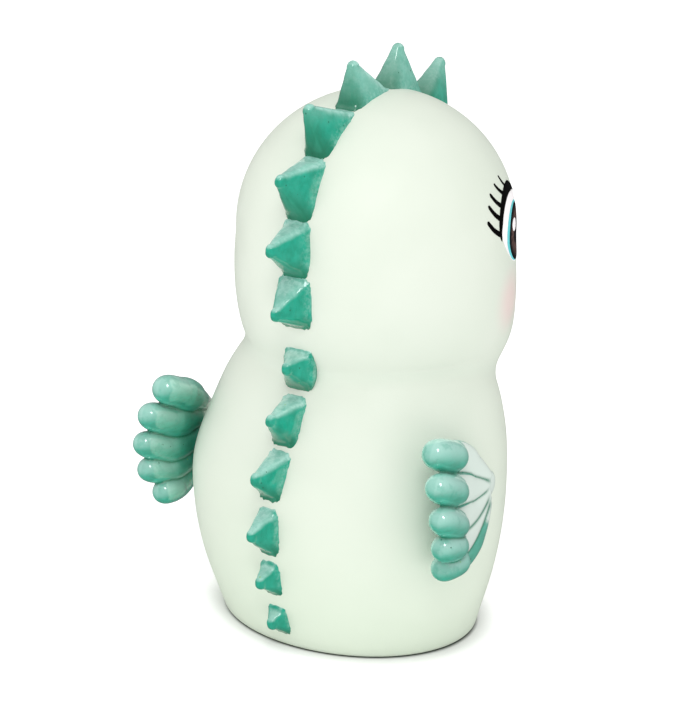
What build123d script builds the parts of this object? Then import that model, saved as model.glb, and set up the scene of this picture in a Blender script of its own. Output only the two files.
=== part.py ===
from build123d import *
import math
import os

# A hollow soft-vinyl sea-creature figure that stands on a flat base: one shell for
# the head and the body, a crest of thirteen spikes up the back and over the crown,
# two fan-shaped fins that turn on flanged pegs, and a stopper pressed into the base.
# Frame: +Z up, the face looks along -Y, the crest runs up the +Y side, and the
# origin is at the middle of the base, on the surface that the figure stands on.
# All sizes are millimetres.

# ---- Shell: rings of (height, half width in X, half depth in Y, middle in Y) ----
BODY_RINGS = [
    (0.0, 42.5, 35.5, 0.3),
    (8.0, 45.0, 37.6, 1.2),
    (20.0, 48.6, 40.5, 2.3),
    (36.0, 51.4, 42.9, 2.8),
    (52.0, 51.8, 43.3, 2.2),
    (68.0, 48.4, 40.4, -2.0),
    (80.0, 43.9, 36.7, -4.2),
    (90.0, 37.8, 31.6, -6.2),
]
HEAD_RINGS = [
    (62.0, 25.5, 26.0, -13.4),
    (74.0, 33.1, 33.7, -13.3),
    (82.0, 37.6, 38.4, -13.2),
    (92.0, 42.0, 42.8, -12.8),
    (104.0, 43.7, 44.5, -11.6),
    (116.0, 43.7, 44.5, -10.8),
    (126.0, 43.2, 44.0, -10.8),
]
DOME_HEIGHT = 42.2          # from the top ring of the head to the crown
WALL = 3.0
FLOOR = 4.0
NECK_FILLET = 4.0
BASE_FILLET = 1.5

# ---- Underside and stopper ----
RIM_WIDTH = 7.0             # flat foot rim round the base
RECESS_DEPTH = 0.8          # the underside inside the rim is this far off the floor
STOPPER_Y = 0.3
HOLE_DIAMETER = 30.0
STEM_CLEARANCE = 0.05
FLANGE_DIAMETER = 36.0
FLANGE_THICKNESS = 1.4
FLANGE_CLEARANCE = 0.3
STEM_LENGTH = 7.0
STOPPER_WALL = 2.2
GRIP_SLOT = (16.0, 3.0, 1.0)    # length, width and depth of the coin slot

# ---- Crest: (low end, high end, width, height, lean of the tip up the back).
# The ends are angles, in degrees above level, seen from the middle of the figure. ----
CREST_VIEW_Y = -5.0
CREST_VIEW_Z = 80.0
SPIKES = [
    (108.0, 121.0, 10.4, 17.2, -5.2),
    (94.2, 107.1, 10.2, 14.5, -3.5),
    (81.6, 93.4, 10.5, 12.9, -2.8),
    (68.8, 80.6, 10.8, 14.8, -3.2),
    (56.4, 68.0, 11.0, 15.0, -1.7),
    (45.0, 55.5, 11.2, 14.2, 0.8),
    (31.3, 44.4, 12.6, 11.5, -1.0),
    (4.5, 22.6, 11.0, 8.0, 2.4),
    (-16.2, 0.8, 10.0, 11.4, -1.7),
    (-29.0, -18.3, 9.0, 10.8, -2.4),
    (-41.9, -31.8, 8.0, 9.7, 1.4),
    (-51.1, -44.5, 7.0, 7.2, 1.5),
    (-60.0, -54.6, 7.0, 5.8, 1.8),
]
SEAT_DEPTH = 1.5            # each spike sits in a shallow seat in the shell
SPIKE_ROOT = 6.0            # how far the straight foot starts below the chord
SPIKE_TIP = (2.0, 1.6)      # size of the blunt tip, along and across the back
FOOT_CORNER = 1.4
TIP_CORNER = 0.7
PEG_DIAMETER = 4.0
PEG_LENGTH = 5.0            # below the chord

# ---- Fins: five fingers that fan out from a hub on the side of the body. Each one
# spreads quickly from the hub to its bend, and runs on from there to its tip. ----
PIVOT_Y = 4.2
PIVOT_Z = 55.2
FINGER_REACH = 31.2
FINGER_STEP = 17.0          # degrees between neighbouring finger tips
MIDDLE_FINGER_TILT = -0.7   # degrees above level
FINGER_RADII = [5.0, 4.7, 4.5, 4.3, 4.2]
FINGER_FLARE = [-4.4, -1.2, 0.4, 0.4, -2.0]     # outwards from the tip plane
TIP_PLANE_X = 54.3
ROOT_X = 53.7
ROOT_SPACING = 1.6          # up the hub, between neighbouring fingers
ROOT_RADIUS = 1.5
BENDS = [
    (51.9, 14.5, 65.4),
    (53.0, 15.2, 57.8),
    (53.6, 16.0, 50.6),
    (54.2, 17.0, 44.0),
    (54.6, 18.0, 37.6),
]
BEND_RADIUS = 2.6
HUB_OUTER_X = 54.0
HUB_DIAMETER = 11.4
HUB_FACE_X = 51.1           # inner face of the hub
SPOT_FACE_X = 50.8          # flat spot on the shell under the hub
SPOT_DIAMETER = 13.0
BORE_DIAMETER = 7.1
SHAFT_DIAMETER = 7.0
BOSS_DIAMETER = 13.0
BOSS_FACE_X = 46.6
BOSS_OUTER_X = 50.0
PEG_FLANGE_GAP = 0.3
PEG_FLANGE_DIAMETER = 10.0
PEG_FLANGE_THICKNESS = 1.6

LEFT = 1
RIGHT = -1
FAR = 200.0                 # larger than the figure, for cutting tools


def lofted(rings, inset, bottom):
    """A smooth solid through the rings, shrunk by inset, that starts at height bottom."""
    faces = []
    for height, half_width, half_depth, middle in rings:
        level = Plane((0, middle, max(height, bottom)))
        faces.append(level * Ellipse(half_width - inset, half_depth - inset))
    return loft(faces)


def figure_form(inset, bottom):
    """Body, head and crown as one filled solid, shrunk by inset."""
    height, half_width, half_depth, middle = HEAD_RINGS[-1]
    half_axes = (half_width - inset, half_depth - inset, DOME_HEIGHT - inset)
    crown = Pos(0, middle, height) * scale(Sphere(1.0), by=half_axes)
    crown = crown & (Pos(0, 0, height + FAR / 2) * Box(FAR, FAR, FAR))
    body = lofted(BODY_RINGS, inset, bottom)
    head = lofted(HEAD_RINGS, inset, HEAD_RINGS[0][0])
    return body + head + crown


def outer_form():
    """The figure's outside as a filled solid, with its base edge and neck fold rounded."""
    form = figure_form(0.0, 0.0)
    form = fillet(form.edges().filter_by_position(Axis.Z, -0.01, 0.01), BASE_FILLET)
    fold = []
    for edge in form.edges():
        box = edge.bounding_box()
        slants = box.size.Z > 1.0
        if slants and box.min.Z > HEAD_RINGS[0][0] and box.max.Z < BODY_RINGS[-1][0]:
            fold.append(edge)
    return fillet(fold, NECK_FILLET)


def side_cylinder(side, diameter, inner_x, outer_x):
    """A cylinder on the fin's pivot axis, between two distances from the middle."""
    start = (side * inner_x, PIVOT_Y, PIVOT_Z)
    face = Plane(start, z_dir=(side, 0, 0)) * Circle(diameter / 2)
    return extrude(face, outer_x - inner_x)


def disc(diameter, bottom, top):
    return extrude(Plane((0, STOPPER_Y, bottom)) * Circle(diameter / 2), top - bottom)


def body_shell(form, spikes):
    shell = form - figure_form(WALL, FLOOR)
    base_height, base_width, base_depth, base_y = BODY_RINGS[0]
    recess_face = Ellipse(base_width - RIM_WIDTH, base_depth - RIM_WIDTH)
    shell -= extrude(Plane((0, base_y, base_height)) * recess_face, RECESS_DEPTH)
    shell -= disc(HOLE_DIAMETER, 0.0, FLOOR)
    counterbore_top = RECESS_DEPTH + FLANGE_THICKNESS + FLANGE_CLEARANCE
    shell -= disc(FLANGE_DIAMETER + 2 * FLANGE_CLEARANCE, 0.0, counterbore_top)
    for side in (LEFT, RIGHT):
        shell += side_cylinder(side, BOSS_DIAMETER, BOSS_FACE_X, BOSS_OUTER_X)
        shell -= side_cylinder(side, SPOT_DIAMETER, SPOT_FACE_X, FAR)
        shell -= side_cylinder(side, BORE_DIAMETER, 0.5 * BOSS_FACE_X, FAR)
    for spike in spikes:
        shell -= spike
    return shell


def base_stopper():
    bottom = RECESS_DEPTH
    stem_top = bottom + FLANGE_THICKNESS + STEM_LENGTH
    stem_diameter = HOLE_DIAMETER - 2 * STEM_CLEARANCE
    stopper = disc(FLANGE_DIAMETER, bottom, bottom + FLANGE_THICKNESS)
    stopper += disc(stem_diameter, bottom, stem_top)
    cup_floor = bottom + FLANGE_THICKNESS + STOPPER_WALL
    stopper -= disc(stem_diameter - 2 * STOPPER_WALL, cup_floor, stem_top)
    slot_length, slot_width, slot_depth = GRIP_SLOT
    slot_face = Plane((0, STOPPER_Y, bottom)) * SlotOverall(slot_length, slot_width)
    return stopper - extrude(slot_face, slot_depth)


def back_point(form, angle):
    """Where a line from the middle of the figure, at this angle above level, comes out."""
    direction = Vector(0, math.cos(math.radians(angle)), math.sin(math.radians(angle)))
    start = Vector(0, CREST_VIEW_Y, CREST_VIEW_Z)
    line = Axis(start, direction)
    hits = form.shell().find_intersection_points(line)
    return max((point for point, normal in hits), key=lambda p: (p - start).dot(direction))


def crest_spike(form, seat_form, low_angle, high_angle, width, height, lean):
    """A blunt four-sided spike on the chord between two points of the back."""
    low = back_point(form, low_angle)
    high = back_point(form, high_angle)
    up_back = (high - low).normalized()
    outward = up_back.cross(Vector(1, 0, 0))
    chord = Plane(origin=(low + high) / 2, x_dir=up_back, z_dir=outward)
    length = (high - low).length
    foot = chord.offset(-SPIKE_ROOT) * RectangleRounded(length, width, FOOT_CORNER)
    spike = extrude(foot, SPIKE_ROOT)
    base = chord * RectangleRounded(length, width, FOOT_CORNER)
    tip = chord.offset(height) * Pos(lean, 0) * RectangleRounded(*SPIKE_TIP, TIP_CORNER)
    spike += loft([base, tip])
    spike -= seat_form
    peg = extrude(chord.offset(-PEG_LENGTH) * Circle(PEG_DIAMETER / 2), PEG_LENGTH)
    return spike + peg


def tapered_rod(start, end, start_radius, end_radius):
    """A cone frustum between two points, with a round end of its own radius on each."""
    along = end - start
    profile = Polyline(
        (0, 0),
        (start_radius, 0),
        (end_radius, along.length),
        (0, along.length),
        close=True,
    )
    rod = revolve(make_face(profile), Axis.Y)
    rod += Sphere(start_radius) + Pos(0, along.length, 0) * Sphere(end_radius)
    place = Plane(origin=start, x_dir=Vector(0, 0, 1).cross(along), z_dir=along)
    return place * Rot(90, 0, 0) * rod


def finger(index):
    """A bent, tapered finger of the left fin, from the hub to its place in the fan."""
    above_middle = 2 - index
    tilt = math.radians(MIDDLE_FINGER_TILT + above_middle * FINGER_STEP)
    root = Vector(ROOT_X, PIVOT_Y, PIVOT_Z + above_middle * ROOT_SPACING)
    bend = Vector(BENDS[index])
    tip_x = TIP_PLANE_X + FINGER_FLARE[index]
    tip_y = PIVOT_Y + FINGER_REACH * math.cos(tilt)
    tip_z = PIVOT_Z + FINGER_REACH * math.sin(tilt)
    tip = Vector(tip_x, tip_y, tip_z)
    lower = tapered_rod(root, bend, ROOT_RADIUS, BEND_RADIUS)
    return lower + tapered_rod(bend, tip, BEND_RADIUS, FINGER_RADII[index])


def left_fin():
    fin = side_cylinder(LEFT, HUB_DIAMETER, HUB_FACE_X, HUB_OUTER_X)
    for index in range(len(FINGER_RADII)):
        fin += finger(index)
    flange_outer_x = BOSS_FACE_X - PEG_FLANGE_GAP
    flange_inner_x = flange_outer_x - PEG_FLANGE_THICKNESS
    fin += side_cylinder(LEFT, SHAFT_DIAMETER, flange_inner_x, HUB_FACE_X)
    fin += side_cylinder(LEFT, PEG_FLANGE_DIAMETER, flange_inner_x, flange_outer_x)
    return fin


def make_parts():
    form = outer_form()
    seat_form = figure_form(SEAT_DEPTH, 0.0)
    spikes = []
    for sizes in SPIKES:
        spikes.append(crest_spike(form, seat_form, *sizes))
    parts = {"body_shell": body_shell(form, spikes)}
    for number, spike in enumerate(spikes, start=1):
        parts[f"crest_spike_{number:02d}"] = spike
    parts["left_fin"] = left_fin()
    parts["right_fin"] = mirror(parts["left_fin"], about=Plane.YZ)
    parts["base_stopper"] = base_stopper()
    return parts


os.makedirs("parts", exist_ok=True)
for name, part in make_parts().items():
    export_step(part, f"parts/{name}.step")
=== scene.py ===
import math
import random

import bmesh
import bpy
import numpy as np
from mathutils import Matrix, Vector, noise
from mathutils.bvhtree import BVHTree


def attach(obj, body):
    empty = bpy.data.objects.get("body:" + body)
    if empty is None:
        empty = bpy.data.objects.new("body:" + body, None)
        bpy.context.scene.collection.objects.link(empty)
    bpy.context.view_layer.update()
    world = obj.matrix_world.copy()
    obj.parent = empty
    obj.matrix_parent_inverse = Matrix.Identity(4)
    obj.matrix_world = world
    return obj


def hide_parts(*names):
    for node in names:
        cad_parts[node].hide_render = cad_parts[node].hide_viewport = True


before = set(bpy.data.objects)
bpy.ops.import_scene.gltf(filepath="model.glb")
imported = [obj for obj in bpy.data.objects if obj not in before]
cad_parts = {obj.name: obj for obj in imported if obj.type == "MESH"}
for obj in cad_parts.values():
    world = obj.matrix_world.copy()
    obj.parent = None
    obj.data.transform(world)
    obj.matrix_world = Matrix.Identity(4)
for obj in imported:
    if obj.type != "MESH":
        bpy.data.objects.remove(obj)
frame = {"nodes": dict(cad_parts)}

# The looks of a hollow soft-vinyl sea-creature figure: a pale shell, a painted crest
# of thirteen spikes, two painted fan-shaped fins, printed eyes and a rubber stopper.
# The row frame: +Z up, the face along -Y, the figure's left side along +X.
# Named sizes and places are in millimetres, like the part's own, and MM turns them into
# Blender's metres. Lamps, the floor, the starts of rays and bump depths are in metres.

MM = 0.001
SIDES = {"left": 1, "right": -1}
BACK_RAY_START = 0.3  # well outside the shell
FACE_RAY_START = 0.2

# ---- The shell's rings: (height, half width in X, half depth in Y, middle in Y) ----
BODY_RINGS = [
    (0.0, 42.5, 35.5, 0.3),
    (8.0, 45.0, 37.6, 1.2),
    (20.0, 48.6, 40.5, 2.3),
    (36.0, 51.4, 42.9, 2.8),
    (52.0, 51.8, 43.3, 2.2),
    (68.0, 48.4, 40.4, -2.0),
    (80.0, 43.9, 36.7, -4.2),
    (90.0, 37.8, 31.6, -6.2),
]
HEAD_RINGS = [
    (62.0, 25.5, 26.0, -13.4),
    (74.0, 33.1, 33.7, -13.3),
    (82.0, 37.6, 38.4, -13.2),
    (92.0, 42.0, 42.8, -12.8),
    (104.0, 43.7, 44.5, -11.6),
    (116.0, 43.7, 44.5, -10.8),
    (126.0, 43.2, 44.0, -10.8),
]
DOME_HEIGHT = 42.2
CENTRE_LINE = ((40.0, 2.0), (80.0, -5.0), (116.0, -10.8))  # (height, y)
FOLD_SOFTNESS = 4.0
BASE_FILLET = 1.5
WALL = 3.0
FLOOR = 4.0
RIM_WIDTH = 7.0
RECESS_DEPTH = 0.8
HOLE_RADIUS = 15.0
COUNTERBORE_RADIUS = 18.3
COUNTERBORE_TOP = 2.5
STOPPER_Y = 0.3
SHELL_SIDES = 256

# ---- The crest: (low angle, high angle, width, height, lean up the back) ----
# The angles are seen from CREST_VIEW, in degrees above level towards the back.
CREST_VIEW = Vector((0.0, -5.0, 80.0)) * MM
SPIKES = [
    (108.0, 121.0, 10.4, 17.6, -4.4),
    (94.2, 107.1, 9.7, 14.4, -3.3),
    (81.6, 93.4, 9.9, 12.8, -2.6),
    (68.8, 80.6, 10.1, 14.7, -3.0),
    (56.2, 68.0, 10.3, 14.8, -1.3),
    (45.0, 55.6, 10.4, 14.0, 0.9),
    (31.3, 44.4, 12.0, 11.5, -1.0),
    (4.7, 22.4, 10.6, 8.0, 2.0),
    (-16.0, 0.6, 9.4, 11.3, -1.8),
    (-28.8, -18.5, 8.5, 10.7, -2.4),
    (-41.9, -31.8, 8.0, 9.7, 1.4),
    (-51.1, -44.5, 7.0, 7.2, 1.5),
    (-60.0, -54.6, 7.0, 5.8, 1.8),
]
SPIKE_SIDES = 64
SPIKE_RINGS = 24
BELOW_SKIN = (-2.5, -1.2, -0.4)  # levels of a spike's rings inside its seat
FOOT_LEVEL = BELOW_SKIN[-1]  # where the foot's paint spreads widest
FOOT_FADE = 0.9
FOOT_FLARE = 1.0
TIP_RADII = (2.1, 1.7)
TIP_CAP = 2.0  # height of the rounded tip
FOOT_SQUARENESS = 4.2  # 2 is an ellipse, more is squarer
SQUARENESS_LOSS = 1.8  # from the foot to the tip
SIDE_LEAN_LIMIT = 0.35
FACE_HOLLOW = (-0.035, -0.005)  # share that a face curves in, below 0 it bulges
RIM_RAGGEDNESS = 0.6
RIM_NOISE_SCALE = 1.1
WAVINESS = 0.2
WAVE_NOISE_SCALES = (0.35, 0.3)  # across and up a spike

# ---- The fins ----
PIVOT = (51.1, 4.2, 55.2)
FINGER_REACH = 31.2
FINGER_STEP = 17.0
MIDDLE_FINGER_TILT = -0.7
FINGER_RADII = (4.9, 4.75, 4.5, 4.3, 4.2)
FINGER_FLARE = (-4.4, -1.2, 0.4, 0.4, -2.0)
TIP_PLANE_X = 54.3
# Where each finger starts on the hub and where it bends, the top finger first. The two
# fins are not quite mirror images: the left one is more evenly spread.
ROOT_X = 53.4
ROOTS = {
    "left": ((5.0, 60.0), (5.0, 57.0), (5.2, 53.2), (5.6, 51.0), (6.4, 49.4)),
    "right": ((7.2, 59.0), (7.2, 57.1), (7.2, 55.2), (7.2, 53.3), (7.2, 51.4)),
}
BENDS = {
    "left": (
        (51.9, 14.5, 65.2),
        (53.0, 15.2, 57.6),
        (53.6, 16.0, 50.0),
        (54.0, 16.8, 43.8),
        (54.0, 17.4, 37.4),
    ),
    "right": (
        (51.9, 14.5, 64.8),
        (53.0, 15.2, 57.8),
        (53.6, 16.0, 50.6),
        (53.8, 16.5, 45.6),
        (53.6, 16.0, 40.2),
    ),
}
ROOT_HALF_WIDTH = 2.0
BEND_HALF_WIDTH = 4.3
ROOT_HALF_THICKNESS = 1.2
STEM_OUTER_THICKNESS = 1.5
BEND_INNER_THICKNESS = (3.6, 2.8, 2.6, 2.3, 2.0)
INNER_SWELL = (2.0, 2.0, 2.0, 1.6, 0.9)  # how soon a stem is as thick as its bulb
BULB_HALF_LENGTHS = (8.5, 9.2, 9.0, 7.5, 6.9)
BULB_SETBACKS = (3.0, 4.0, 4.1, 2.9, 2.6)  # of a bulb's middle from the finger's end
BULB_ROUNDNESS = 2.9  # 2 is an ellipse, more is squarer
STEM_WIDTH_SHARE = 0.95  # of the bulb's radius
BEND_SHARE = 0.4  # where a finger bends, as a share of it
BULB_RUN = 0.5  # share over which a stem grows to its bulb
WEB_HALF_WIDTH = 0.9  # extra width between bend and bulb
WEB_START = 0.3
WEB_RUN = 0.6
HUB_RADIUS = 4.6
HUB_RIM = 0.4  # height of the hub's straight edge
HUB_DOME = 0.7
SHAFT_RADIUS = 3.5
FLANGE_RADIUS = 5.0
FLANGE_SPAN = (44.7, 46.3)
FIN_VOXEL = 0.32
FIN_SIDES = 40
FINGER_STEPS = 32

# ---- A fin's paint. Each pair is where a change of paint starts and ends ----
STEM_PAINT_SHARES = (0.05, 0.3)  # of a finger's length, on its inner side
OUTER_DEPTHS = (0.1, 0.7)  # above a finger's middle line
OFF_BULB = (0.1, 0.5)  # away from a bulb's skin
TIPWARD_SHARES = (0.5, 1.0)
LOWEST_STEM_PAINT = 0.85  # the lowest finger's stem is painted outside too
# Painted shade along the grooves between the stems:
GROOVE_HALF_WIDTH = 0.6
GROOVE_FROM_HUB = (3.5, 6.5)

# ---- The face. Across is along the skin from the eye's middle towards the back ----
FACE_AXIS_Y = -11.0
HEAD_GIRTH_RADIUS = 43.4
EYE_TURN = 70.0  # degrees from the face's middle
EYE_HEIGHT = 128.4
EYE_HALF_WIDTH = 12.5
EYE_TOP = 11.2
EYE_BOTTOM = 11.3
OUTER_CORNER_POWER = 1.4  # 2 is an ellipse, less is more pointed
RING_OVAL = (-1.8, -1.9, 10.2, 9.2)  # across, up, half width, half height
IRIS_PLACE = (-2.7, -2.3)
IRIS_HALF_WIDTH = 9.0
IRIS_HALF_HEIGHT = 8.8
GLINT_OVAL = (0.6, 0.4, 2.5, 2.0)
LID_SPAN = (-12.0, 128.0)  # degrees round the eye, from its outer corner
LID_OFFSET = 0.75
# Root and tip of each lash: (across, up) from the eye's middle, and its thickness.
LASHES = [
    ((3.2, 12.6), (6.4, 16.3), 1.05),
    ((7.0, 11.1), (11.9, 14.8), 1.25),
    ((10.7, 8.0), (16.4, 12.6), 1.45),
    ((12.9, 4.6), (18.7, 9.5), 1.55),
    ((13.6, 0.0), (20.4, 5.1), 1.6),
]
LASH_SAG = 0.07  # share of a lash's length
SMILE_HEIGHT = 103.0
SMILE_HALF_ANGLE = 9.0
SMILE_RISE = 2.2
SMILE_HALF_THICKNESS = 0.45
# How far each printed layer stands off the skin, so that none lies in another.
LIFTS = dict(white=0.05, smile=0.08, ring=0.09, lash=0.12, iris=0.13, lid=0.15, glint=0.17)
PRINT_ROOT = -0.25  # a layer's underside is this far inside the skin
PRINT_RINGS = 8
CHEEK = (42.0, -21.5, 106.0)  # |x|, y, z
CHEEK_RADIUS = 13.0
CHEEK_CORE = 2.0
LOW_TINT_TOP = 90.0  # the body is a little greener below this height
# Painted light: the top spikes of the crest are paler.
CROWN_LIGHT_SPAN = (160.0, 174.0)  # the crest grows paler over these heights

# ---- Colours, as sRGB from 0 to 255 ----
MINT = (223, 230, 217)
MINT_BLOTCH = (219, 227, 213)
MINT_LOW = (216, 232, 208)
# Painted shade in the neck fold.
MINT_FOLD_SHADE = (205, 226, 205)
BLUSH = (238, 204, 202)
TEAL = (14, 166, 138)
TEAL_STREAK = (4, 150, 122)
TEAL_BLOTCH = (60, 186, 160)
# The pale teal that painted light turns the teal towards, as does the thin paint round the
# spikes' feet.
TEAL_PALE = (172, 222, 209)
# Painted shade under the lower end of each spike.
TEAL_UNDER_SHADE = (4, 100, 64)
# Painted shade in the fins' grooves.
TEAL_GROOVE_SHADE = (2, 124, 92)
DARK_SPECK = (6, 100, 74)
PALE_FLECK = (140, 200, 80)
BARE_VINYL = (226, 240, 231)
IRIS_DARK = (50, 34, 32)
IRIS_LIGHT = (112, 84, 78)
IRIS_RIM = (12, 9, 10)
PUPIL = (16, 11, 12)
CONTACT_SHADE = (20, 44, 14)

# ---- The studio ----
# Each lamp: name, turn from the face, rise, distance, size, radiance, is seen in gloss.
LIGHTS = [
    ("key", 214, 46, 0.9, 0.32, 5.6, True),
    ("fill_left", 158, 30, 0.9, 0.5, 1.5, False),
    ("fill_right", 262, 30, 0.9, 0.5, 0.8, False),
    ("overhead", 180, 86, 1.1, 0.9, 1.8, False),
]
LIGHT_TARGET = Vector((0, 0, 0.09))
WORLD_DIFFUSE = 0.64
WORLD_IN_GLOSS = 0.2
WORLD_SEEN = 1.05
FLOOR_HALF_SIZE = 6  # metres
CONTACT_RADII = (0.0385, 0.0405, 0.0415, 0.0437)  # of the shaded ring, in metres
CAMERA_TURN = 213.02  # degrees from the face
CAMERA_DISTANCE = 599.95
CAMERA_HEIGHT = 275.47
CAMERA_TARGET_HEIGHT = 86.34
CAMERA_PAN = -0.36  # degrees
CAMERA_ROLL = 1.09  # degrees
CAMERA_LENS = 102.86


def smooth_row(rows, height, flat_top):
    """A row's values at a height, on a smooth curve through all rows."""
    table = np.array(rows)
    heights = table[:, 0]
    values = table[:, 1:]
    slopes = np.gradient(values, heights, axis=0, edge_order=2)
    if flat_top:
        slopes[-1] = 0.0
    index = int(np.clip(np.searchsorted(heights, height) - 1, 0, len(heights) - 2))
    gap = heights[index + 1] - heights[index]
    t = (height - heights[index]) / gap
    low, high = values[index], values[index + 1]
    low_slope, high_slope = slopes[index] * gap, slopes[index + 1] * gap
    bend = t * t * (3 - 2 * t)
    return (
        low * (1 - bend)
        + high * bend
        + low_slope * t * (1 - t) ** 2
        - high_slope * t * t * (1 - t)
    )


def ellipse_reach(row, centre_y, turns):
    """Distance from the centre line to an elliptical ring, at each turn from the face."""
    half_width, half_depth, middle = row
    across, along = np.sin(turns), -np.cos(turns)
    shift = centre_y - middle
    a = (across / half_width) ** 2 + (along / half_depth) ** 2
    b = shift * along / half_depth ** 2
    c = (shift / half_depth) ** 2 - 1
    return (-b + np.sqrt(b * b - a * c)) / a


def level_points(x, y, height):
    return np.stack([x, y, np.full_like(x, height)], axis=-1)


def skin_ring(height, turns, inset=0.0):
    """The shell's outline at a height, in mm, and how deep in the neck fold each point is."""
    centre_y = np.interp(height, *zip(*CENTRE_LINE))
    fold = np.zeros_like(turns)
    reaches = []
    if height <= BODY_RINGS[-1][0]:
        row = smooth_row(BODY_RINGS, height, False)
        reaches.append(ellipse_reach(row - (inset, inset, 0), centre_y, turns))
    if height >= HEAD_RINGS[0][0]:
        top = HEAD_RINGS[-1][0]
        row = smooth_row(HEAD_RINGS, min(height, top), True)
        share = max(height - top, 0.0) / (DOME_HEIGHT - inset)
        shrink = math.sqrt(max(1 - share * share, 0.0))
        row = (row - (inset, inset, 0)) * (shrink, shrink, 1)
        reaches.append(ellipse_reach(row, centre_y, turns) if shrink else turns * 0)
    reach = np.max(reaches, axis=0)
    if len(reaches) == 2:
        near = np.maximum(FOLD_SOFTNESS - np.abs(reaches[0] - reaches[1]), 0)
        fold = near / FOLD_SOFTNESS
        reach = reach + fold * fold * FOLD_SOFTNESS / 4
    return level_points(reach * np.sin(turns), centre_y - reach * np.cos(turns), height), fold


def oval_ring(half_width, half_depth, middle, height, turns):
    x, y = half_width * np.sin(turns), middle - half_depth * np.cos(turns)
    return level_points(x, y, height), np.zeros_like(turns)


def add_mesh(name, points, faces):
    """A new smooth-shaded mesh object in the row frame, with its faces turned outwards."""
    mesh = bpy.data.meshes.new(name)
    mesh.from_pydata([tuple(p) for p in points], [], faces)
    build = bmesh.new()
    build.from_mesh(mesh)
    bmesh.ops.remove_doubles(build, verts=build.verts, dist=1e-7)
    bmesh.ops.recalc_face_normals(build, faces=build.faces)
    for face in build.faces:
        face.smooth = True
    build.to_mesh(mesh)
    build.free()
    piece = bpy.data.objects.new(name, mesh)
    bpy.context.scene.collection.objects.link(piece)
    return piece


def ring_faces(ring_count, sides, closed_ends):
    """Quads between rings of points, and one n-gon over each end if the ends are closed."""
    faces = []
    for ring in range(ring_count - 1):
        for side in range(sides):
            beside = (side + 1) % sides
            low, high = ring * sides, (ring + 1) * sides
            faces.append((low + side, low + beside, high + beside, high + side))
    if closed_ends:
        faces.append(tuple(range(sides)))
        faces.append(tuple(range((ring_count - 1) * sides, ring_count * sides)))
    return faces


def set_attribute(piece, name, values):
    attribute = piece.data.attributes.new(name, "FLOAT", "POINT")
    attribute.data.foreach_set("value", np.asarray(values, np.float32))


def shell_heights():
    """Heights of the outside rings above the base fillet, closer together at the fold."""
    top = HEAD_RINGS[-1][0]
    body = np.arange(BASE_FILLET, 58.0, 1.5)
    fold = np.arange(58.0, 96.0, 0.6)
    head = np.arange(96.0, top, 1.5)
    rise = np.radians(np.arange(0.0, 90.0, 2.0))
    return np.concatenate([body, fold, head, top + DOME_HEIGHT * np.sin(rise)])


def inner_rings(turns):
    """The shell's inside, from its floor to its crown."""
    inner_top = HEAD_RINGS[-1][0] + DOME_HEIGHT - WALL
    inner = [skin_ring(FLOOR, turns, WALL)]
    for height in np.arange(10.0, HEAD_RINGS[-1][0], 8.0):
        inner.append(skin_ring(height, turns, WALL))
    for rise in np.radians(np.arange(0.0, 90.0, 10.0)):
        height = HEAD_RINGS[-1][0] + (DOME_HEIGHT - WALL) * math.sin(rise)
        inner.append(skin_ring(height, turns, WALL))
    inner.append(oval_ring(0.0, 0.0, HEAD_RINGS[-1][3], inner_top, turns))
    return inner


def outer_rings(turns):
    """The shell's outside, from the recess under its base over the rim to its crown."""
    base = BODY_RINGS[0]
    outside = []
    for height in (RECESS_DEPTH, 0.0):
        oval = (base[1] - RIM_WIDTH, base[2] - RIM_WIDTH, base[3])
        outside.append(oval_ring(*oval, height, turns))
    for angle in np.radians(np.arange(0.0, 90.0, 15.0)):
        inset = BASE_FILLET * (1 - math.sin(angle))
        height = BASE_FILLET * (1 - math.cos(angle))
        outside.append(skin_ring(height, turns, inset))
    for height in shell_heights():
        outside.append(skin_ring(height, turns))
    crown = HEAD_RINGS[-1][0] + DOME_HEIGHT
    outside.append(oval_ring(0.0, 0.0, HEAD_RINGS[-1][3], crown, turns))
    return outside


def hole_rings(turns):
    """The stopper's hole, from the inside down to the recess under the base."""
    under = []
    for radius, height in (
        (HOLE_RADIUS, FLOOR),
        (HOLE_RADIUS, COUNTERBORE_TOP),
        (COUNTERBORE_RADIUS, COUNTERBORE_TOP),
        (COUNTERBORE_RADIUS, RECESS_DEPTH),
    ):
        under.append(oval_ring(radius, radius, STOPPER_Y, height, turns))
    return under


def make_shell():
    turns = np.arange(SHELL_SIDES) * 2 * math.pi / SHELL_SIDES
    rings = inner_rings(turns)[::-1] + hole_rings(turns) + outer_rings(turns)
    points = np.concatenate([ring[0] for ring in rings]) * MM
    folds = np.concatenate([ring[1] for ring in rings])
    faces = ring_faces(len(rings), SHELL_SIDES, False)
    piece = add_mesh("shell", points, faces)
    fold_at = {}
    for point, fold in zip(points, folds):
        if fold > 0:
            fold_at[tuple(np.round(point, 6))] = fold
    values = []
    for vertex in piece.data.vertices:
        values.append(fold_at.get(tuple(round(c, 6) for c in vertex.co), 0.0))
    set_attribute(piece, "fold", values)
    return piece


def tree_of(piece):
    mesh = piece.data
    corners = [vertex.co for vertex in mesh.vertices]
    return BVHTree.FromPolygons(corners, [face.vertices for face in mesh.polygons])


# ---- Building the crest ----


def back_point(tree, angle):
    """Where a line from the middle of the figure, at this angle above level, comes out."""
    way = Vector((0, math.cos(math.radians(angle)), math.sin(math.radians(angle))))
    far = CREST_VIEW + way * BACK_RAY_START
    return tree.ray_cast(far, -way)[0]


def smoothstep(low, high, value):
    """From 0 at low to 1 at high, with soft ends."""
    t = min(max((value - low) / (high - low), 0.0), 1.0)
    return t * t * (3 - 2 * t)


def power(value, exponent):
    """A power that keeps the value's sign."""
    return math.copysign(abs(value) ** exponent, value)


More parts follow.
